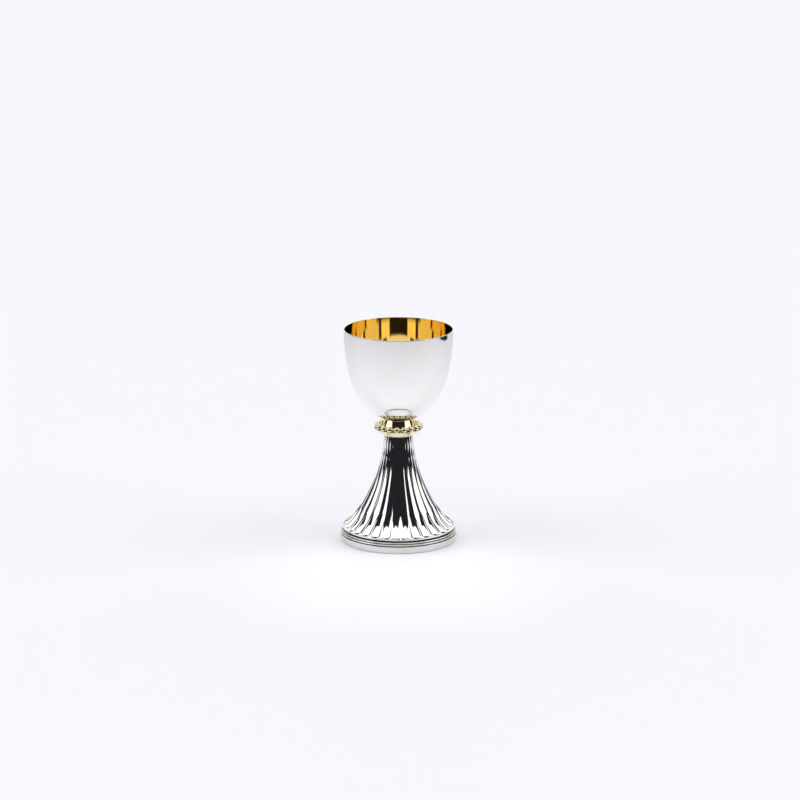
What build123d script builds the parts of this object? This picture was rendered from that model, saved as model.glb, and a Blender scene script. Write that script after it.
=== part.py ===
from build123d import *
from math import acos, cos, pi, radians, sin, sqrt
import os

# A small communion chalice, in millimetres. +Z is up, the origin is the centre of the foot's
# underside, and every round piece is turned about the Z axis. The bowl is silver, gilt inside.
# The bowl, the knop and the foot are drawn together by one threaded stud and a nut in the foot.

# ---- Driving dimensions -------------------------------------------------------------------
HEIGHT = 160.0            # lip above the table

CUP_RADIUS = 40.8         # widest radius of the egg that the bowl is cut from
CUP_BOTTOM = 90.8         # lowest point of the bowl's outside
EGG_TOP = 180.0           # height where the egg would be widest, above the lip
EGG_POWER_UP = 3.0        # fullness of the egg along its height
EGG_POWER_OUT = 2.25      # fullness of the egg across its width
CUP_WALL = 1.0
SOLDER = 0.03             # gap left for solder between two pieces
TRIM_DEPTH = 15.0         # how far above and below the bowl's bottom its shape trims other pieces

FLUTES = 32               # hollow flutes round the foot
FIRST_RIDGE = 2.5 - 90.0  # degrees: the first ridge stands just beside the front of the foot
STEM_FLUTE = 0.017        # depth of a flute in the stem, as a share of the radius there
FOOT_FLUTE = 0.035        # depth of a flute in the spreading foot, as a share of the radius
FLUTE_DEEPENS = (38.0, 20.0)  # heights between which the flutes grow from one depth to the other
FOOT_WALL = 0.8           # thickness of the sheet behind the deepest line of a flute
# Radius and height of the ridges between the flutes, from the stem's top down to the foot.
FOOT_CURVE = [
    (10.7, 80.0), (11.2, 75.5), (12.0, 68.0), (15.8, 52.0), (22.2, 36.0), (29.4, 23.0), (36.4, 14.0),
    (39.4, 11.0), (41.2, 9.2),
]

BEADS = 18
FIRST_BEAD = 4.7          # degrees from the front of the knop to the nearest bead
BEAD_RING = 15.4          # radius of the circle through the beads' centres
BEAD_RADIUS = 2.62
BEAD_HEIGHT = 86.2        # height of the beads' centres
BEAD_CORE = 0.9           # radius of the wire that the beads are formed on
BEAD_GAP = 0.05           # gap between the beads and the pieces round them

DISH_RADIUS = 18.2        # widest radius of the dish under the beads
DISH_RIM = 85.3           # height of the dish's rim, which hides the lower part of the beads
DISH_SIDE = (15.9, 82.4)  # a point of the dish's rounded underside
DISH_FOOT = 9.8           # radius of the dish's seat on the stem
DISH_EDGE = 0.3           # height of the straight edges at the rim and the seat
BAND_GAP = 0.15           # gap between the beads and the drum inside them
BAND_TOP = 86.0           # height where the cove starts
COVE_MIDDLE = (10.75, 89.2)
COVE_NECK = 9.5           # radius of the cove where it meets the bowl
COVE_INSIDE = 8.4
COVE_BLANK = 2.0          # height above the bowl's bottom of the cove before it is trimmed
CORE_RADIUS = 5.5

RIM_RADIUS = 43.9         # widest radius of the whole chalice, at the foot's plain band
RIM_HEIGHT = 5.0
RIM_WALL = 1.6
RIM_ROUND = 0.9           # rounding of the band's lower outside edge
RIM_LEDGE = (41.0, 0.9)   # inner radius and thickness of the ledge at the band's top
HOOP_RADIUS = 0.9         # radius of the wire inside the band
HOOP_RAISED = 0.4         # height of the hoop's underside above the table

MOULDING_INSIDE = 39.6
MOULDING_TAPER = 2.0      # height of the slope from the ledge in to the moulding's inside
SEAT_RADIUS = 42.0        # radius of the flat seat for the foot and its wire
SEAT_THICK = 0.3
# Centre radius, centre height and own radius of each reed, and the radius of the groove above it.
REEDS = [(42.5, 7.6, 0.5, 41.7), (43.0, 6.05, 0.55, 42.3)]
LAST_GROOVE = 42.6
WIRE_RADIUS = 0.65        # radius of the wire round the flutes' ends
WIRE_RING = 41.95         # radius of the circle through the wire's centre

STUD_RADIUS = 2.95        # M6 rod, left plain
STUD_END = 66.0           # lower end of the rod
THREAD_GAP = 0.05         # radial gap between the rod and the pieces threaded on it
CLEAR_HOLE = 3.3          # radius of the holes that the rod only passes through
STUD_CHAMFER = 0.6
BOSS_RADIUS = 7.5         # disc soldered under the bowl
BOSS_HANGS = 2.2          # depth of the boss below the bowl's lowest point
BOSS_BLANK = 3.0          # height above the bowl's bottom of the boss before it is trimmed
STUD_BELOW_CUP = 0.3      # gap between the rod's top and the bowl

NUT_FLATS = 10.0          # across flats, M6
NUT_HEIGHT = 5.0
NUT_BEVEL = 0.7           # height of the bevel on the nut's corners
NUT_FACE = 0.95           # radius of the nut's round faces, as a share of half its flats
NUT_SPARE = 0.1           # how far the bevelling cone passes outside the corners
WASHER_RADIUS = 8.0
WASHER_THICK = 1.2

CUT_PAST = 1.0            # how far a cutting shape passes beyond the faces that it opens

# ---- Dimensions worked out from the ones above --------------------------------------------
STEM_TOP = FOOT_CURVE[0][1]
FOOT_SEAT = FOOT_CURVE[-1][1]
PLATE_THICK = 1.2
PLATE_GAP = 0.1
PLATE_RADIUS = FOOT_CURVE[0][0] * (1 - STEM_FLUTE) - FOOT_WALL - PLATE_GAP

DISH_TOP = BEAD_HEIGHT - BEAD_RADIUS - BEAD_GAP
BAND_RADIUS = BEAD_RING - BEAD_RADIUS - BAND_GAP
BOSS_BOTTOM = CUP_BOTTOM - BOSS_HANGS

WASHER_TOP = STEM_TOP - PLATE_THICK
NUT_TOP = WASHER_TOP - WASHER_THICK


# ---- Helpers ------------------------------------------------------------------------------
def at(radius, height):
    """The point of an outline at this radius and height, in the XZ plane."""
    return Vector(radius, 0, height)


def path(*points):
    """Straight edges from each point of an outline to the next."""
    return [Line(start, end) for start, end in zip(points, points[1:])]


def turned(edges):
    """The solid that a closed outline sweeps out as it turns about the Z axis."""
    return revolve(Face(Wire(edges)), Axis.Z)


def turned_polygon(*points):
    """A turned solid whose outline has straight sides only."""
    return turned(path(*points, points[0]))


def disc(outer, inner, bottom, top):
    """A flat ring, or a tube, between two radii and two heights."""
    return turned_polygon(at(inner, bottom), at(outer, bottom), at(outer, top), at(inner, top))


def bar(radius, bottom, top):
    """A plain round bar standing on the Z axis."""
    return Pos(0, 0, bottom) * Cylinder(radius, top - bottom, align=(Align.CENTER, Align.CENTER, Align.MIN))


def ring(centre_radius, height, wire_radius):
    """A round wire bent into a ring."""
    return Pos(0, 0, height) * Torus(centre_radius, wire_radius)


def save(solid, node, colour):
    """Write one piece to its own file."""
    solid.label = node
    solid.color = Color(*colour)
    export_step(solid, f"parts/{node}.step")


# ---- Bowl ---------------------------------------------------------------------------------
def egg_curve(radius, bottom, top, steps=14):
    """The bowl's side as a smooth curve, from its lowest point on the axis up to a height.

    It is a stretched circle: (drop / depth) ** EGG_POWER_UP + (r / radius) ** EGG_POWER_OUT = 1,
    where drop is measured down from EGG_TOP.
    """
    depth = EGG_TOP - bottom
    last_angle = acos(((EGG_TOP - top) / depth) ** (EGG_POWER_UP / 2))
    points = []
    for step in range(steps + 1):
        angle = last_angle * step / steps
        r = radius * sin(angle) ** (2 / EGG_POWER_OUT)
        drop = depth * cos(angle) ** (2 / EGG_POWER_UP)
        points.append(at(r, EGG_TOP - drop))
    rising = points[-1] - points[-2]
    return Spline(*points, tangents=[(1, 0, 0), rising.normalized()])


def make_cup():
    """The spun bowl, with a rounded lip."""
    lip_start = HEIGHT - CUP_WALL / 2
    outside = egg_curve(CUP_RADIUS, CUP_BOTTOM, lip_start)
    inside = egg_curve(CUP_RADIUS - CUP_WALL, CUP_BOTTOM + CUP_WALL, lip_start)
    lip_middle = (outside @ 1 + inside @ 1) / 2 + Vector(0, 0, CUP_WALL / 2)
    lip = ThreePointArc(outside @ 1, lip_middle, inside @ 1)
    floor = Line(inside @ 0, outside @ 0)
    return turned([outside, lip, inside, floor])


def below_cup():
    """All the space under the bowl, for trimming the pieces that are soldered to it."""
    top = CUP_BOTTOM + TRIM_DEPTH
    bottom = CUP_BOTTOM - TRIM_DEPTH
    side = egg_curve(CUP_RADIUS + SOLDER, CUP_BOTTOM - SOLDER, top)
    box = path(side @ 1, at(CUP_RADIUS, top), at(CUP_RADIUS, bottom), at(0, bottom), side @ 0)
    return turned([side, *box])


def make_cup_boss():
    """The disc soldered under the bowl, with the hole that the stud is soldered into."""
    blank = disc(BOSS_RADIUS, STUD_RADIUS + THREAD_GAP, BOSS_BOTTOM, CUP_BOTTOM + BOSS_BLANK)
    return blank & below_cup()


def make_stud():
    """The threaded rod, fixed in the boss and hanging down through knop and stem."""
    rod = bar(STUD_RADIUS, STUD_END, CUP_BOTTOM - STUD_BELOW_CUP)
    return chamfer(rod.edges().group_by(Axis.Z)[0], STUD_CHAMFER)


# ---- Knop ---------------------------------------------------------------------------------
def make_knop_upper():
    """The gilt cove that spreads from the bowl's underside down to the beads."""
    top = CUP_BOTTOM + COVE_BLANK
    start = at(BAND_RADIUS, BAND_TOP)
    neck = at(COVE_NECK, top)
    outside = ThreePointArc(start, at(*COVE_MIDDLE), neck)
    inside = path(neck, at(COVE_INSIDE, top), at(COVE_INSIDE, BAND_TOP), start)
    return turned([outside, *inside]) & below_cup()


def make_knop_band():
    """The drum inside the ring of beads."""
    return disc(BAND_RADIUS, COVE_INSIDE, DISH_TOP, BAND_TOP)


def make_knop_beads():
    """The ring of beads, formed on one wire."""
    beads = ring(BEAD_RING, BEAD_HEIGHT, BEAD_CORE)
    for number in range(BEADS):
        turn = -90 - FIRST_BEAD + number * 360 / BEADS
        beads += Rot(0, 0, turn) * Pos(BEAD_RING, 0, BEAD_HEIGHT) * Sphere(BEAD_RADIUS)
    return beads


def make_knop_lower():
    """The turned dish under the beads, with a trough that the beads lie in."""
    trough = BEAD_RADIUS + BEAD_GAP
    fall = BEAD_HEIGHT - DISH_RIM
    trough_edge = at(BEAD_RING + sqrt(trough ** 2 - fall ** 2), DISH_RIM)
    trough_middle = at(BEAD_RING + trough * sin(pi / 4), BEAD_HEIGHT - trough * cos(pi / 4))
    trough_foot = at(BEAD_RING, BEAD_HEIGHT - trough)
    rim = at(DISH_RADIUS, DISH_RIM - DISH_EDGE)
    seat = at(DISH_FOOT, STEM_TOP + DISH_EDGE)
    outline = [
        ThreePointArc(seat, at(*DISH_SIDE), rim),
        *path(rim, at(DISH_RADIUS, DISH_RIM), trough_edge),
        ThreePointArc(trough_edge, trough_middle, trough_foot),
        *path(trough_foot, at(CLEAR_HOLE, DISH_TOP), at(CLEAR_HOLE, STEM_TOP), at(DISH_FOOT, STEM_TOP), seat),
    ]
    return turned(outline)


def make_knop_core():
    """The spacer tube round the stud, which takes the nut's pull inside the knop."""
    return disc(CORE_RADIUS, CLEAR_HOLE, DISH_TOP, BOSS_BOTTOM)


# ---- Foot ---------------------------------------------------------------------------------
def flute_share(height):
    """Depth of a flute at a height, as a share of the radius there."""
    start, end = FLUTE_DEEPENS
    grown = min(max((start - height) / (start - end), 0), 1)
    return STEM_FLUTE + (FOOT_FLUTE - STEM_FLUTE) * grown


def flute_ring(radius, height):
    """One level of the foot: hollow arcs that meet in ridges on the given radius."""
    pitch = 2 * pi / FLUTES
    share = flute_share(height) if height > FOOT_SEAT else 0
    hollow = radius * (1 - share)
    arcs = []
    for number in range(FLUTES):
        ridge = radians(FIRST_RIDGE) + number * pitch
        start = Vector(radius * cos(ridge), radius * sin(ridge), height)
        middle = Vector(hollow * cos(ridge + pitch / 2), hollow * sin(ridge + pitch / 2), height)
        end = Vector(radius * cos(ridge + pitch), radius * sin(ridge + pitch), height)
        arcs.append(ThreePointArc(start, middle, end))
    return Wire(arcs)


def make_foot():
    """The fluted trumpet of sheet silver, open at both ends."""
    outside = Solid.make_loft([flute_ring(radius, height) for radius, height in FOOT_CURVE])
    inner = [at(radius * (1 - flute_share(height)) - FOOT_WALL, height) for radius, height in FOOT_CURVE]
    side = Spline(*inner)
    above = at((side @ 0).X, STEM_TOP + CUT_PAST)
    below = at((side @ 1).X, FOOT_SEAT - CUT_PAST)
    hollow = turned([side, *path(side @ 1, below, at(0, below.Z), at(0, above.Z), above, side @ 0)])
    return outside - hollow


def make_stem_plate():
    """The disc soldered in the top of the stem, which the knop stands on."""
    return disc(PLATE_RADIUS, CLEAR_HOLE, WASHER_TOP, STEM_TOP)


def make_foot_wire():
    """The round wire that runs round the ends of the flutes."""
    return ring(WIRE_RING, FOOT_SEAT + WIRE_RADIUS, WIRE_RADIUS)


def make_foot_moulding():
    """The ring under the flutes: a flat seat, then two raised reeds with deep grooves between."""
    under_seat = at(SEAT_RADIUS, FOOT_SEAT - SEAT_THICK)
    outline = path(at(MOULDING_INSIDE, FOOT_SEAT), at(SEAT_RADIUS, FOOT_SEAT), under_seat)
    last = under_seat
    for centre, height, size, groove in REEDS:
        top = at(centre, height + size)
        bottom = at(centre, height - size)
        outline += path(last, at(groove, last.Z), at(groove, top.Z), top)
        outline.append(ThreePointArc(top, at(centre + size, height), bottom))
        last = bottom
    ledge = at(RIM_LEDGE[0], RIM_HEIGHT)
    outline += path(
        last,
        at(LAST_GROOVE, last.Z),
        at(LAST_GROOVE, RIM_HEIGHT),
        ledge,
        at(MOULDING_INSIDE, RIM_HEIGHT + MOULDING_TAPER),
        at(MOULDING_INSIDE, FOOT_SEAT),
    )
    return turned(outline)


def make_foot_rim():
    """The plain band that the chalice stands on, turned in at its top under the moulding."""
    inside = RIM_RADIUS - RIM_WALL
    ledge_radius, ledge_thick = RIM_LEDGE
    band = turned_polygon(
        at(inside, 0),
        at(RIM_RADIUS, 0),
        at(RIM_RADIUS, RIM_HEIGHT),
        at(ledge_radius, RIM_HEIGHT),
        at(ledge_radius, RIM_HEIGHT - ledge_thick),
        at(inside, RIM_HEIGHT - ledge_thick),
    )
    bottom_edges = band.edges().group_by(Axis.Z)[0]
    outer_edge = bottom_edges.sort_by(SortBy.RADIUS)[-1]
    return fillet(outer_edge, RIM_ROUND)


def make_foot_hoop():
    """The wire soldered inside the band's lower edge to keep it round."""
    return ring(RIM_RADIUS - RIM_WALL - HOOP_RADIUS - SOLDER, HOOP_RADIUS + HOOP_RAISED, HOOP_RADIUS)


# ---- Fastening ----------------------------------------------------------------------------
def make_washer():
    """The plain washer under the stem plate."""
    return disc(WASHER_RADIUS, CLEAR_HOLE, NUT_TOP, WASHER_TOP)


def make_nut():
    """The hexagon nut, bevelled at its corners top and bottom."""
    bottom = NUT_TOP - NUT_HEIGHT
    prism = Pos(0, 0, bottom) * extrude(RegularPolygon(NUT_FLATS / 2, 6, major_radius=False), NUT_HEIGHT)
    corner = NUT_FLATS / 2 / cos(pi / 6) + NUT_SPARE
    face = NUT_FLATS / 2 * NUT_FACE
    rounder = turned_polygon(
        at(0, bottom),
        at(face, bottom),
        at(corner, bottom + NUT_BEVEL),
        at(corner, NUT_TOP - NUT_BEVEL),
        at(face, NUT_TOP),
        at(0, NUT_TOP),
    )
    return (prism & rounder) - bar(STUD_RADIUS + THREAD_GAP, bottom - CUT_PAST, NUT_TOP + CUT_PAST)


# ---- All pieces ---------------------------------------------------------------------------
SILVER = (0.80, 0.80, 0.82)
GILT = (0.90, 0.72, 0.35)
BRASS = (0.72, 0.58, 0.30)
STEEL = (0.60, 0.61, 0.63)

PIECES = [
    ("cup", make_cup, SILVER),
    ("cup_boss", make_cup_boss, BRASS),
    ("stud", make_stud, STEEL),
    ("knop_upper", make_knop_upper, GILT),
    ("knop_band", make_knop_band, GILT),
    ("knop_beads", make_knop_beads, GILT),
    ("knop_lower", make_knop_lower, GILT),
    ("knop_core", make_knop_core, BRASS),
    ("foot", make_foot, SILVER),
    ("stem_plate", make_stem_plate, BRASS),
    ("foot_wire", make_foot_wire, SILVER),
    ("foot_moulding", make_foot_moulding, SILVER),
    ("foot_rim", make_foot_rim, SILVER),
    ("foot_hoop", make_foot_hoop, SILVER),
    ("washer", make_washer, STEEL),
    ("nut", make_nut, BRASS),
]

os.makedirs("parts", exist_ok=True)
for node, make, colour in PIECES:
    save(make(), node, colour)
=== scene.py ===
from math import acos, cos, pi, radians, sin

import bmesh
import bpy
import numpy as np
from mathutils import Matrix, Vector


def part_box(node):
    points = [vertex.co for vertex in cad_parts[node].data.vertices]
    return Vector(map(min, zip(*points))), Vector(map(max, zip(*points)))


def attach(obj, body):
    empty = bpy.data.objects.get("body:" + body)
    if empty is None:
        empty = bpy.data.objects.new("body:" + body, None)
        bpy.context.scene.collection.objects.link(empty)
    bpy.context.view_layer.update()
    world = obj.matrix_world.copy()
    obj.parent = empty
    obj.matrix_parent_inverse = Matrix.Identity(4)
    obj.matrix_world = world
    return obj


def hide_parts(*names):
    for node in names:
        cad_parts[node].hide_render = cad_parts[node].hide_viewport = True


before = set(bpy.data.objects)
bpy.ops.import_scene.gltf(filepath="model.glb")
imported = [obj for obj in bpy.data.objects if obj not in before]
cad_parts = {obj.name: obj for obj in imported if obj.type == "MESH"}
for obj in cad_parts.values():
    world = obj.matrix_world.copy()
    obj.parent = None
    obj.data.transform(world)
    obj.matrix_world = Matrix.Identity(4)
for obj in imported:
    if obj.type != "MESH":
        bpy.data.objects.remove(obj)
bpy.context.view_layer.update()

# The looks of a small communion chalice: a mirror-polished silver bowl, gilt inside, on a gilt
# beaded knop and a fluted silver foot. Outlines are (radius, height) pairs in millimetres and
# become metres when a mesh is made. -Y is the front.

MM = 0.001


# ---- Shapes that follow the CAD model -------------------------------------------------------
# The flutes are a little deeper and sharper than the CAD model's, and the lip is thinner.
def top_of(node):
    """Highest point of a CAD node, in millimetres."""
    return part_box(node)[1].z / MM


def bottom_of(node):
    """Lowest point of a CAD node, in millimetres."""
    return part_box(node)[0].z / MM


def radius_of(node):
    """Widest radius of a CAD node, in millimetres."""
    low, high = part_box(node)
    return max(high.x, high.y, -low.x, -low.y) / MM


HEIGHT = top_of("cup")
CUP_BOTTOM = bottom_of("cup")
CUP_RADIUS = 40.8
CUP_WALL = 1.0
EGG_TOP = 180.0
EGG_POWER_UP = 3.0
EGG_POWER_OUT = 2.25

FLUTES = 32
FIRST_RIDGE = radians(2.5 - 90.0)
STEM_FLUTE = 0.017        # depth of a flute in the stem, as a share of the radius
FOOT_FLUTE = 0.048        # depth of a flute in the spreading foot
FLUTE_DEEPENS = (25.0, 16.5)  # heights between which the flutes grow from one depth to the other
RIDGE_SHARPENS = (31.0, 24.0)  # heights between which the ridges turn from soft to sharp
RIDGE_SOFT = 1.6          # power of a flute's profile where its ridges are soft
RIDGE_SHARP = 1.0
FLUTE_POWER = 2.5         # how flat a flute is in its middle
FOOT_WALL = 0.8
FOOT_CURVE = [
    (10.7, 80.0), (11.2, 75.5), (12.0, 68.0), (15.8, 52.0), (22.2, 36.0), (29.4, 23.0), (36.4, 14.0),
    (39.4, 11.0), (41.2, 9.2)]

BEADS = 18
FIRST_BEAD = radians(-90.0 - 4.7)
BEAD_RING = 15.4
BEAD_RADIUS = 2.62
BEAD_HEIGHT = 86.2
BEAD_CORE = 0.9           # radius of the wire that the beads are formed on
BEAD_TROUGH = BEAD_RADIUS + 0.05
COVE_MIDDLE = (10.75, 89.2)
COVE_NECK = 9.5           # radius of the cove where it meets the bowl
COVE_INSIDE = 8.4
DISH_SIDE = (15.9, 82.4)  # a point of the dish's rounded underside
DISH_FOOT = 9.8           # radius of the dish's seat on the stem
DISH_EDGE = 0.3
DISH_HOLE = 3.3

# Centre radius, centre height and own radius of each reed, and the radius of the groove above it.
REEDS = [(42.5, 7.6, 0.5, 41.7), (43.0, 6.05, 0.55, 42.3)]
LAST_GROOVE = 42.6
WIRE_RING = 41.95
WIRE_RADIUS = 0.65
MOULDING_INSIDE = 39.6
MOULDING_TAPER = 2.0      # height of the slope from the ledge in to the moulding's inside
RIM_LEDGE = 41.0          # inner radius of the ledge at the band's top
RIM_INSIDE = 42.3
LEDGE_THICK = 0.9


# ---- Mesh helpers ---------------------------------------------------------------------------
def new_object(name, mesh, materials, body="root"):
    """Puts a finished mesh in the scene and lets it ride on a CAD body."""
    piece = bpy.data.objects.new(name, mesh)
    bpy.context.scene.collection.objects.link(piece)
    for material in materials:
        mesh.materials.append(material)
    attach(piece, body)
    return piece


def clean(mesh, smooth=True):
    """Joins doubled points, turns every face outwards and smooths the shading."""
    work = bmesh.new()
    work.from_mesh(mesh)
    bmesh.ops.remove_doubles(work, verts=work.verts, dist=1e-7)
    bmesh.ops.dissolve_degenerate(work, edges=work.edges, dist=1e-7)
    bmesh.ops.recalc_face_normals(work, faces=work.faces)
    for face in work.faces:
        face.smooth = smooth
    work.to_mesh(mesh)
    work.free()


def grid_mesh(name, points, wrap_rows):
    """A mesh over a grid of points [column, row], closed round its columns."""
    columns, rows = points.shape[:2]
    index = np.arange(columns * rows).reshape(columns, rows)
    nxt = np.roll(index, -1, axis=0)
    if wrap_rows:
        faces = np.stack([index, nxt, np.roll(nxt, -1, axis=1), np.roll(index, -1, axis=1)], axis=-1)
    else:
        faces = np.stack([index[:, :-1], nxt[:, :-1], nxt[:, 1:], index[:, 1:]], axis=-1)
    mesh = bpy.data.meshes.new(name)
    mesh.from_pydata((points.reshape(-1, 3) * MM).tolist(), [], faces.reshape(-1, 4).tolist())
    return mesh


def lathe(name, outline, columns=256, closed=True):
    """Turns an outline about the Z axis. A closed outline is a ring's section."""
    outline = np.array(outline)
    angle = np.arange(columns) * 2 * pi / columns
    points = np.empty((columns, len(outline), 3))
    points[:, :, 0] = np.cos(angle)[:, None] * outline[:, 0]
    points[:, :, 1] = np.sin(angle)[:, None] * outline[:, 0]
    points[:, :, 2] = outline[:, 1]
    return grid_mesh(name, points, closed)


def rounded(corners, steps=5):
    """A closed outline from (radius, height, rounding) corners, each corner made an arc."""
    result = []
    count = len(corners)
    for number, (r, z, size) in enumerate(corners):
        here = np.array([r, z])
        if size == 0:
            result.append(here)
            continue
        before = np.array(corners[number - 1][:2]) - here
        after = np.array(corners[(number + 1) % count][:2]) - here
        before /= np.linalg.norm(before)
        after /= np.linalg.norm(after)
        start = here + before * size
        end = here + after * size
        for step in range(steps + 1):
            t = step / steps
            result.append((1 - t) ** 2 * start + 2 * t * (1 - t) * here + t ** 2 * end)
    return result


def arc(centre, radius, start, end, steps):
    """Points along an arc in an outline, angles in degrees from the outward direction."""
    angles = np.radians(np.linspace(start, end, steps + 1))
    return [(centre[0] + radius * cos(a), centre[1] + radius * sin(a)) for a in angles]


def smooth_line(points, steps):
    """A natural cubic spline through points, as finer points."""
    points = np.array(points, float)
    chord = np.concatenate([[0], np.cumsum(np.linalg.norm(np.diff(points, axis=0), axis=1))])
    gap = np.diff(chord)
    count = len(points)
    matrix = np.eye(count)
    right = np.zeros((count, 2))
    for k in range(1, count - 1):
        matrix[k, k - 1:k + 2] = gap[k - 1], 2 * (gap[k - 1] + gap[k]), gap[k]
        right[k] = 6 * ((points[k + 1] - points[k]) / gap[k] - (points[k] - points[k - 1]) / gap[k - 1])
    bend = np.linalg.solve(matrix, right)
    along = np.linspace(0, chord[-1], steps + 1)
    k = np.clip(np.searchsorted(chord, along, side="right") - 1, 0, count - 2)
    a = ((chord[k + 1] - along) / gap[k])[:, None]
    b = 1 - a
    h = gap[k][:, None]
    bent = ((a ** 3 - a) * bend[k] + (b ** 3 - b) * bend[k + 1]) * h ** 2 / 6
    return along, a * points[k] + b * points[k + 1] + bent


# ---- Node helpers ---------------------------------------------------------------------------
def new_material(name):
    """An empty node material with its output."""
    material = bpy.data.materials.new(name)
    material.use_nodes = True
    tree = material.node_tree
    tree.nodes.clear()
    output = tree.nodes.new("ShaderNodeOutputMaterial")
    return material, tree, output


def node(tree, kind, inputs=None, **settings):
    """A node with its settings and inputs. An input is a value or another node's output."""
    made = tree.nodes.new(kind)
    for key, value in settings.items():
        setattr(made, key, value)
    for key, value in (inputs or {}).items():
        if isinstance(value, bpy.types.NodeSocket):
            tree.links.new(value, made.inputs[key])
        else:
            made.inputs[key].default_value = value
    return made


def calc(tree, operation, a, b=0.0, c=0.0):
    """A math node's output."""
    return node(tree, "ShaderNodeMath", {0: a, 1: b, 2: c}, operation=operation).outputs[0]


def ramp(tree, value, low, high, to_low=0.0, to_high=1.0, shape="SMOOTHSTEP"):
    """A value remapped from one range to another, held at both ends."""
    inputs = {"Value": value, "From Min": low, "From Max": high, "To Min": to_low, "To Max": to_high}
    return node(tree, "ShaderNodeMapRange", inputs, interpolation_type=shape).outputs[0]


# ---- Materials ------------------------------------------------------------------------------
THREAD_PITCH = 0.001      # metres


def polished_metal(name, light, deep, roughness, scratch, pitch=None):
    """Hand-polished metal: faint colour clouds, cloudy gloss and very fine polishing marks.

    With a pitch it also shows a screw thread round the Z axis.
    """
    material, tree, output = new_material(name)
    place = node(tree, "ShaderNodeTexCoord").outputs["Object"]
    spots = {"Vector": place, "Scale": 45.0, "Detail": 4.0}
    clouds = node(tree, "ShaderNodeTexNoise", spots).outputs["Fac"]
    cloudy = ramp(tree, clouds, 0.35, 0.7)
    colour = node(tree, "ShaderNodeMix", {0: cloudy, 6: light, 7: deep}, data_type="RGBA")
    smudge = node(tree, "ShaderNodeTexNoise", {"Vector": place, "Scale": 130.0, "Detail": 6.0}).outputs["Fac"]
    gloss = ramp(tree, smudge, 0.3, 0.75, roughness * 0.6, roughness * 1.5)
    scale = (300.0, 300.0, 9000.0)
    stretched = node(tree, "ShaderNodeMapping", {"Vector": place, "Scale": scale}).outputs[0]
    marks = node(tree, "ShaderNodeTexNoise", {"Vector": stretched, "Scale": 1.0, "Detail": 2.0}).outputs["Fac"]
    bump = node(tree, "ShaderNodeBump", {"Height": marks, "Strength": scratch, "Distance": 0.00002})
    if pitch:
        x, y, z = node(tree, "ShaderNodeSeparateXYZ", {0: place}).outputs
        turn = calc(tree, "DIVIDE", calc(tree, "ARCTAN2", y, x), 2 * pi)
        ridges = calc(tree, "PINGPONG", calc(tree, "ADD", calc(tree, "DIVIDE", z, pitch), turn), 0.5)
        bump = node(tree, "ShaderNodeBump", {
            "Height": ridges, "Strength": 1.0, "Distance": pitch * 1.1, "Normal": bump.outputs[0]})
    shader = node(tree, "ShaderNodeBsdfPrincipled", {
        "Base Color": colour.outputs[2], "Roughness": gloss, "Metallic": 1.0, "Normal": bump.outputs[0],
    })
    tree.links.new(shader.outputs[0], output.inputs[0])
    return material


SILVER = polished_metal("silver", (0.975, 0.965, 0.94, 1), (0.96, 0.945, 0.91, 1), 0.035, 0.05)
# The base band's silver is painted darker and warmer than the rest: painted shade for the table's contact
# shadow that the band reflects.
SHADED_BAND_SILVER = polished_metal("shaded_band_silver", (0.86, 0.82, 0.79, 1), (0.80, 0.76, 0.72, 1), 0.12, 0.1)
GILT = polished_metal("gilt", (1.0, 0.90, 0.62, 1), (0.98, 0.86, 0.56, 1), 0.04, 0.05)
# The gilt inside the bowl is painted a deeper orange than the knop's: painted light standing for light bounced
# between the bowl's gilt walls.
BOUNCE_TINTED_GILT = polished_metal("bounce_tinted_gilt", (0.965, 0.80, 0.42, 1), (0.955, 0.77, 0.38, 1), 0.04, 0.08)
BRASS = polished_metal("brass", (0.83, 0.66, 0.36, 1), (0.76, 0.58, 0.30, 1), 0.25, 0.3)
STEEL = polished_metal("steel", (0.62, 0.62, 0.62, 1), (0.55, 0.55, 0.56, 1), 0.3, 0.3)
THREAD = polished_metal(
    "threaded_steel", (0.62, 0.62, 0.62, 1), (0.55, 0.55, 0.56, 1), 0.3, 0.3, THREAD_PITCH)
# Near-black metal laid in the reeded moulding's grooves.
GROOVE_BLACK = polished_metal("groove_black", (0.035, 0.03, 0.03, 1), (0.09, 0.075, 0.06, 1), 0.4, 0.3)


# ---- Bowl -----------------------------------------------------------------------------------
def egg_curve(radius, bottom, top, steps=110):
    """One side of the egg that the bowl is cut from, from its lowest point up to a height."""
    depth = EGG_TOP - bottom
    last_angle = acos(((EGG_TOP - top) / depth) ** (EGG_POWER_UP / 2))
    points = []
    for step in range(steps + 1):
        angle = last_angle * step / steps
        r = radius * sin(angle) ** (2 / EGG_POWER_OUT)
        drop = depth * cos(angle) ** (2 / EGG_POWER_UP)
        points.append((r, EGG_TOP - drop))
    return points


LIP_THINNED = 0.25        # the wall is this much thinner at the lip
THIN_FROM = 130.0         # height where the wall starts to thin
LIP_HOLD = 0.08           # an extra row this near the lip keeps the shading crisp


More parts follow.
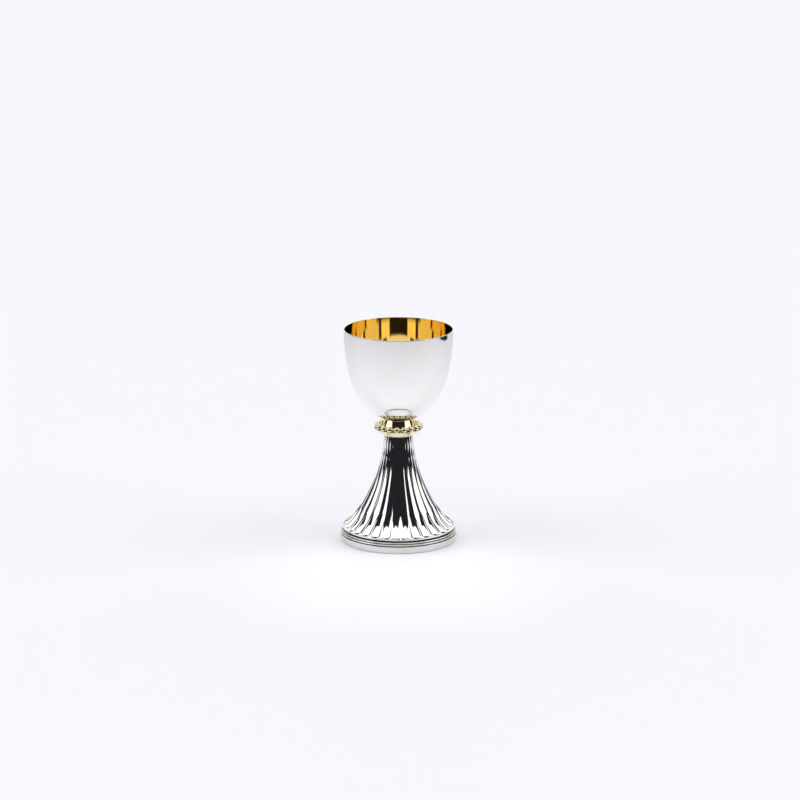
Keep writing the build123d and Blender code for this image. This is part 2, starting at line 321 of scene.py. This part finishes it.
def make_bowl():
    """The bowl: silver outside, gilt from the crown of the lip inwards."""
    lip_start = HEIGHT - CUP_WALL / 2
    outside = egg_curve(CUP_RADIUS, CUP_BOTTOM, lip_start)
    inside = [
        (r + LIP_THINNED * min(max((z - THIN_FROM) / (HEIGHT - THIN_FROM), 0), 1), z)
        for r, z in egg_curve(CUP_RADIUS - CUP_WALL, CUP_BOTTOM + CUP_WALL, lip_start)]
    for side in (outside, inside):
        (r0, z0), (r1, z1) = side[-2:]
        side.insert(-1, (r1 + (r0 - r1) * LIP_HOLD, z1 + (z0 - z1) * LIP_HOLD))
    lip_centre = ((outside[-1][0] + inside[-1][0]) / 2, lip_start)
    lip_radius = (outside[-1][0] - inside[-1][0]) / 2
    lip = arc(lip_centre, lip_radius, 0, 180, 10)[1:-1]
    outline = outside + lip + inside[::-1]
    mesh = lathe("bowl", outline, 320, closed=False)
    crown = len(outside) + len(lip) // 2
    rows = len(outline) - 1
    for face in mesh.polygons:
        face.material_index = 1 if face.index % rows >= crown else 0
    clean(mesh)
    bowl = new_object("bowl", mesh, [SILVER, BOUNCE_TINTED_GILT])
    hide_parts("cup")


# ---- Knop -----------------------------------------------------------------------------------
def make_beads():
    """The ring of gilt beads on its wire."""
    work = bmesh.new()
    for number in range(BEADS):
        made = bmesh.ops.create_uvsphere(work, u_segments=40, v_segments=24, radius=BEAD_RADIUS * MM)
        angle = FIRST_BEAD + number * 2 * pi / BEADS
        place = (BEAD_RING * MM * cos(angle), BEAD_RING * MM * sin(angle), BEAD_HEIGHT * MM)
        bmesh.ops.translate(work, verts=made["verts"], vec=place)
    for face in work.faces:
        face.smooth = True
    mesh = bpy.data.meshes.new("beads")
    work.to_mesh(mesh)
    work.free()
    beads = new_object("beads", mesh, [GILT])
    core = lathe("bead_wire", arc((BEAD_RING, BEAD_HEIGHT), BEAD_CORE, 0, 360, 16)[:-1], 180)
    clean(core)
    wire = new_object("bead_wire", core, [GILT])
    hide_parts("knop_beads")


def make_knop():
    """The cove above the beads and the dish that the beads lie in."""
    cove_top = top_of("knop_upper")
    band_top = bottom_of("knop_upper")
    band_radius = radius_of("knop_upper")
    side = [(band_radius, band_top + 0.1), COVE_MIDDLE, (COVE_NECK, cove_top - 0.02)]
    outside = smooth_line(side, 30)[1].tolist()
    inside = [(8.6, cove_top - 0.2), (COVE_INSIDE, band_top), (band_radius - 0.1, band_top)]
    cove = lathe("cove", outside + inside, 256)
    clean(cove)
    piece = new_object("cove", cove, [GILT])
    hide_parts("knop_upper")

    dish_top = top_of("knop_lower")
    dish_bottom = bottom_of("knop_lower")
    rim_radius = radius_of("knop_lower")
    side = [(DISH_FOOT, dish_bottom + DISH_EDGE), DISH_SIDE, (rim_radius, dish_top - DISH_EDGE)]
    underside = smooth_line(side, 30)[1].tolist()
    rim = [(rim_radius - 0.02, dish_top - 0.12), (rim_radius - 0.1, dish_top), (rim_radius - 0.25, dish_top)]
    trough = arc((BEAD_RING, BEAD_HEIGHT), BEAD_TROUGH, -21, -90, 16)
    floor = BEAD_HEIGHT - BEAD_TROUGH
    hole = [(DISH_HOLE, floor), (DISH_HOLE, dish_bottom), (9.6, dish_bottom)]
    dish = lathe("dish", underside + rim + trough + hole, 256)
    clean(dish)
    piece = new_object("dish", dish, [GILT])
    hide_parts("knop_lower")


# ---- Foot -----------------------------------------------------------------------------------
FLUTE_COLUMNS = 24
END_ROUND = 2.0           # length of a flute's rounded lower end
COLLAR = 0.5              # plain strip below the flutes' ends


def make_foot():
    """The fluted trumpet: hollow flutes that meet in ridges, with rounded lower ends."""
    length, curve = smooth_line(FOOT_CURVE, 190)
    from_end = length[-1] - length
    u = np.sin(np.linspace(-pi / 2, pi / 2, FLUTE_COLUMNS + 1))[:-1]
    angle = np.concatenate([
        FIRST_RIDGE + (number + (u + 1) / 2) * 2 * pi / FLUTES for number in range(FLUTES)
    ])
    across = np.tile(u, FLUTES)
    rise = np.clip((from_end - COLLAR) / END_ROUND, 0, 1)
    half_width = np.sqrt(np.clip(1 - (1 - rise) ** 2, 0, 1))
    grown = np.clip((FLUTE_DEEPENS[0] - curve[:, 1]) / (FLUTE_DEEPENS[0] - FLUTE_DEEPENS[1]), 0, 1)
    depth = (STEM_FLUTE + (FOOT_FLUTE - STEM_FLUTE) * grown) * half_width
    sharpened = np.clip((RIDGE_SHARPENS[0] - curve[:, 1]) / (RIDGE_SHARPENS[0] - RIDGE_SHARPENS[1]), 0, 1)
    ridge_softness = RIDGE_SOFT - (RIDGE_SOFT - RIDGE_SHARP) * sharpened
    reach = np.abs(across[:, None]) / np.maximum(half_width[None, :], 1e-6)
    hollow = np.clip(1 - reach ** FLUTE_POWER, 0, 1) ** ridge_softness[None, :]
    radius = curve[None, :, 0] * (1 - depth[None, :] * hollow)
    inner = radius - FOOT_WALL
    outer_points = np.stack([
        np.cos(angle)[:, None] * radius, np.sin(angle)[:, None] * radius,
        np.broadcast_to(curve[None, :, 1], radius.shape)], axis=-1)
    inner_points = np.stack([
        np.cos(angle)[:, None] * inner, np.sin(angle)[:, None] * inner,
        np.broadcast_to(curve[None, :, 1], radius.shape)], axis=-1)
    points = np.concatenate([outer_points, inner_points[:, ::-1]], axis=1)
    mesh = grid_mesh("foot_flutes", points, True)
    clean(mesh)
    foot = new_object("foot_flutes", mesh, [SILVER])
    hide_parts("foot")


def reeded_outline():
    """The moulding's outline, and the numbers of its edges that lie in a groove."""
    seat = top_of("foot_moulding")
    rim_height = top_of("foot_rim")
    outline = [(MOULDING_INSIDE, seat), (41.9, seat), (42.0, seat - 0.1), (41.95, seat - 0.25)]
    grooves = [1, 2]
    for centre, height, size, groove in REEDS:
        last = outline[-1][1]
        grooves += range(len(outline) - 1, len(outline) + 3)
        outline += [(groove, last - 0.08), (groove, height + size * 0.9)]
        outline += arc((centre, height), size, 105, -105, 18)
    grooves += range(len(outline) - 1, len(outline) + 1)
    outline += [(LAST_GROOVE, outline[-1][1] - 0.05), (LAST_GROOVE, rim_height)]
    outline += [(RIM_LEDGE, rim_height), (MOULDING_INSIDE, rim_height + MOULDING_TAPER)]
    return outline, grooves


def make_foot_rings():
    """The wire, the reeded moulding and the plain band under the flutes."""
    wire_height = bottom_of("foot_wire") + WIRE_RADIUS
    wire = lathe("foot_ring", arc((WIRE_RING, wire_height), WIRE_RADIUS, 0, 360, 20)[:-1], 360)
    clean(wire)
    piece = new_object("foot_ring", wire, [SILVER])
    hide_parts("foot_wire")

    rim_height = top_of("foot_rim")
    outline, grooves = reeded_outline()
    moulding = lathe("reeded_ring", outline, 360)
    # Faces that lie in a groove get the near-black metal.
    for face in moulding.polygons:
        face.material_index = 1 if face.index % len(outline) in grooves else 0
    clean(moulding)
    piece = new_object("reeded_ring", moulding, [SILVER, GROOVE_BLACK])
    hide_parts("foot_moulding")

    rim_radius = radius_of("foot_rim")
    outline = rounded([
        (RIM_INSIDE, 0, 0.15), (rim_radius, 0, 0.9), (rim_radius, rim_height, 0.25),
        (RIM_LEDGE, rim_height, 0), (RIM_LEDGE, rim_height - LEDGE_THICK, 0.1),
        (RIM_INSIDE, rim_height - LEDGE_THICK, 0.2)])
    band = lathe("base_band", outline, 360)
    clean(band)
    # The band's darker, warmer silver is painted shade.
    piece = new_object("base_band", band, [SHADED_BAND_SILVER])
    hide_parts("foot_rim")


# ---- CAD pieces that keep their shape -------------------------------------------------------
def dress_cad_nodes():
    """Gives the hidden CAD pieces their metal."""
    for name, material in [
        ("cup_boss", BRASS), ("stud", THREAD), ("knop_band", GILT), ("knop_core", BRASS),
        ("stem_plate", BRASS), ("foot_hoop", SILVER), ("washer", STEEL), ("nut", BRASS),
    ]:
        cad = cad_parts[name]
        cad.data.materials.clear()
        cad.data.materials.append(material)


# ---- Studio ---------------------------------------------------------------------------------
PALE = (0.847, 0.839, 0.888, 1)
DARK = (0.016, 0.016, 0.02, 1)
SCREEN = 1.2              # brightness of the white screens at the sides and overhead
PAPER = 0.95              # brightness of the paper behind the table
BELOW = (0.7, 0.7, 0.72, 1)  # what the hollow under the foot reflects when it is seen from below
UNDER_FOOT = 0.042        # radius of the hole in the table that lights that hollow
TABLE_RADIUS = 0.62       # in reflections the table ends here in front
TABLE_RIGHT = 0.572       # distance of the slanting right-hand edge from the chalice
RIGHT_TURN = radians(18)
TABLE_BACK = (0.35, 0.30)  # behind this the table goes on in all directions, as paper
TABLE_FADE = 0.01         # width of the soft edge of the table
TABLE_COLOUR = (0.845, 0.838, 0.875, 1)
FLOOR_HALF = 9.0          # half the side of the floor, in metres
GLOW_AHEAD = 0.105        # a painted pool of light on the table, standing for light the foot throws forward, has its middle this far in front
DIFFUSE_BOOST = 0.81      # extra share of the studio's light that matt surfaces get
CEILING_EDGE = (49, 47)   # elevation in degrees where the white ceiling gives way to the sides
PAPER_EDGE = (128, 130)   # degrees from the front where the paper behind the table starts
LENS = 129.0
CAMERA_PLACE = (0.0011, -2.060, 0.62544)
CAMERA_DOWN = 14.158      # degrees


def product(tree, a, b):
    """The product of two values in a node tree."""
    return calc(tree, "MULTIPLY", a, b)


def length_of(tree, x, y):
    """The length of a flat vector in a node tree."""
    return calc(tree, "SQRT", calc(tree, "ADD", product(tree, x, x), product(tree, y, y)))


def by_elevation(tree, z, low, high):
    """A step from 0 at one elevation of the view, in degrees, to 1 at another."""
    return ramp(tree, z, sin(radians(low)), sin(radians(high)))


def by_azimuth(tree, front, low, high):
    """A step from 0 at one angle from the front, in degrees, to 1 at another."""
    return ramp(tree, front, cos(radians(low)), cos(radians(high)))


def blend(tree, share, first, second, **settings):
    """A colour between two others."""
    inputs = {0: share, 6: first, 7: second}
    return node(tree, "ShaderNodeMix", inputs, data_type="RGBA", **settings).outputs[2]


def make_world():
    """The studio, plain and pale to the camera.

    Reflections see white screens and paper, with a dark opening in front, dark gaps at the sides
    and dark bands above the paper and below the screens.
    """
    world = bpy.data.worlds.new("studio")
    bpy.context.scene.world = world
    world.use_nodes = True
    tree = world.node_tree
    tree.nodes.clear()
    look = node(tree, "ShaderNodeTexCoord").outputs["Generated"]
    split = node(tree, "ShaderNodeSeparateXYZ", {0: look})
    x, y, z = split.outputs
    flat = calc(tree, "MAXIMUM", length_of(tree, x, y), 0.0001)
    front = calc(tree, "DIVIDE", product(tree, y, -1.0), flat)
    opening = by_azimuth(tree, front, 59, 57)
    gap = product(tree, by_azimuth(tree, front, 130, 128), by_azimuth(tree, front, 110, 112))
    dark = product(tree, calc(tree, "MAXIMUM", opening, gap), by_elevation(tree, z, *CEILING_EDGE))
    behind = by_azimuth(tree, front, *PAPER_EDGE)
    above_paper = product(tree, by_elevation(tree, z, 44, 46), by_elevation(tree, z, 76, 74))
    dark = calc(tree, "MAXIMUM", dark, product(tree, above_paper, behind))
    below_screens = product(tree, by_elevation(tree, z, 12, 9), by_azimuth(tree, front, 146, 142))
    dark = calc(tree, "MAXIMUM", dark, below_screens)
    screen = (SCREEN, SCREEN, SCREEN * 1.02, 1)
    paper = (PAPER, PAPER, PAPER * 1.03, 1)
    light = blend(tree, product(tree, behind, by_elevation(tree, z, 76, 74)), screen, paper)
    above = blend(tree, dark, light, DARK)
    tent = blend(tree, by_elevation(tree, z, -4, -8), above, BELOW)
    path = node(tree, "ShaderNodeLightPath").outputs
    boost = product(tree, path["Is Diffuse Ray"], DIFFUSE_BOOST)
    strength = calc(tree, "ADD", 1.0, boost)
    colour = blend(tree, path["Is Camera Ray"], tent, PALE)
    background = node(tree, "ShaderNodeBackground", {"Color": colour, "Strength": strength})
    output = node(tree, "ShaderNodeOutputWorld")
    tree.links.new(background.outputs[0], output.inputs[0])


def painted_light_table(tree, x, y, distance, seen, unseen):
    """The table's surface with painted light and shade: for the camera a painted pool of light ahead of the
    foot and painted light that lifts the foot's shadow, and in reflections painted shade that grows with
    distance.
    """
    # Painted pool of light on the table in front of the foot, for the camera only.
    forward = calc(tree, "ADD", y, GLOW_AHEAD)
    painted_pool = ramp(tree, length_of(tree, x, forward), 0.17, 0.0, 0.0, 0.13)
    # Painted light close round the foot that lifts its shadow, for the camera only.
    painted_lift_near_foot = ramp(tree, distance, 0.12, 0.04, 0.0, 0.05)
    glow = product(tree, calc(tree, "ADD", painted_pool, painted_lift_near_foot), seen)
    # Painted shade: the table gets darker with distance in reflections.
    painted_falloff_shade = product(tree, ramp(tree, distance, 0.05, 0.65, -0.03, 0.26, shape="LINEAR"), unseen)
    share = calc(tree, "ADD", calc(tree, "SUBTRACT", glow, painted_falloff_shade), 1.0)
    colour = blend(tree, share, (0, 0, 0, 1), TABLE_COLOUR, clamp_factor=False)
    return node(tree, "ShaderNodeBsdfPrincipled", {
        "Base Color": colour, "Roughness": 0.6, "Specular IOR Level": 0.3}).outputs[0]


def past_table(tree, x, y, distance):
    """1 where a reflection looks past the front or the right-hand edge of the table."""
    across = product(tree, x, cos(RIGHT_TURN))
    right = calc(tree, "ADD", across, product(tree, y, sin(RIGHT_TURN)))
    beyond = calc(
        tree, "MAXIMUM", ramp(tree, distance, TABLE_RADIUS, TABLE_RADIUS + TABLE_FADE),
        ramp(tree, right, TABLE_RIGHT, TABLE_RIGHT + TABLE_FADE))
    return product(tree, beyond, ramp(tree, y, *TABLE_BACK))


def make_floor():
    """The pale table top, with painted light by the foot for the camera, and clear to it from below.

    For other rays it has painted shade that grows with distance, ends in front and at the right, and has a
    hole under the foot.
    """
    mesh = bpy.data.meshes.new("floor")
    corners = [(-1, -1), (1, -1), (1, 1), (-1, 1)]
    mesh.from_pydata([(FLOOR_HALF * x, FLOOR_HALF * y, 0) for x, y in corners], [], [(0, 1, 2, 3)])
    floor = bpy.data.objects.new("floor", mesh)
    bpy.context.scene.collection.objects.link(floor)
    material, tree, output = new_material("floor")
    geometry = node(tree, "ShaderNodeNewGeometry").outputs
    x, y, _ = node(tree, "ShaderNodeSeparateXYZ", {0: geometry["Position"]}).outputs
    distance = length_of(tree, x, y)
    seen = node(tree, "ShaderNodeLightPath").outputs["Is Camera Ray"]
    unseen = calc(tree, "SUBTRACT", 1.0, seen)
    pale = painted_light_table(tree, x, y, distance, seen, unseen)
    dark = node(tree, "ShaderNodeEmission", {"Color": DARK}).outputs[0]
    ended = product(tree, past_table(tree, x, y, distance), unseen)
    top = node(tree, "ShaderNodeMixShader", {0: ended, 1: pale, 2: dark}).outputs[0]
    clear = node(tree, "ShaderNodeBsdfTransparent").outputs[0]
    from_below = product(tree, geometry["Backfacing"], seen)
    hole = product(tree, ramp(tree, distance, UNDER_FOOT, UNDER_FOOT - 0.001), unseen)
    open_part = calc(tree, "MAXIMUM", from_below, hole)
    both = node(tree, "ShaderNodeMixShader", {0: open_part, 1: top, 2: clear}).outputs[0]
    tree.links.new(both, output.inputs[0])
    mesh.materials.append(material)


def make_camera():
    """The camera stands about two metres in front of the chalice and looks down a little."""
    data = bpy.data.cameras.new("camera")
    data.sensor_width = 36.0
    data.lens = LENS
    camera = bpy.data.objects.new("camera", data)
    bpy.context.scene.collection.objects.link(camera)
    camera.location = CAMERA_PLACE
    camera.rotation_euler = (radians(90 - CAMERA_DOWN), 0, 0)
    bpy.context.scene.camera = camera


make_bowl()
make_beads()
make_knop()
make_foot()
make_foot_rings()
dress_cad_nodes()
make_world()
make_floor()
make_camera()
bpy.context.scene.view_settings.view_transform = "Standard"
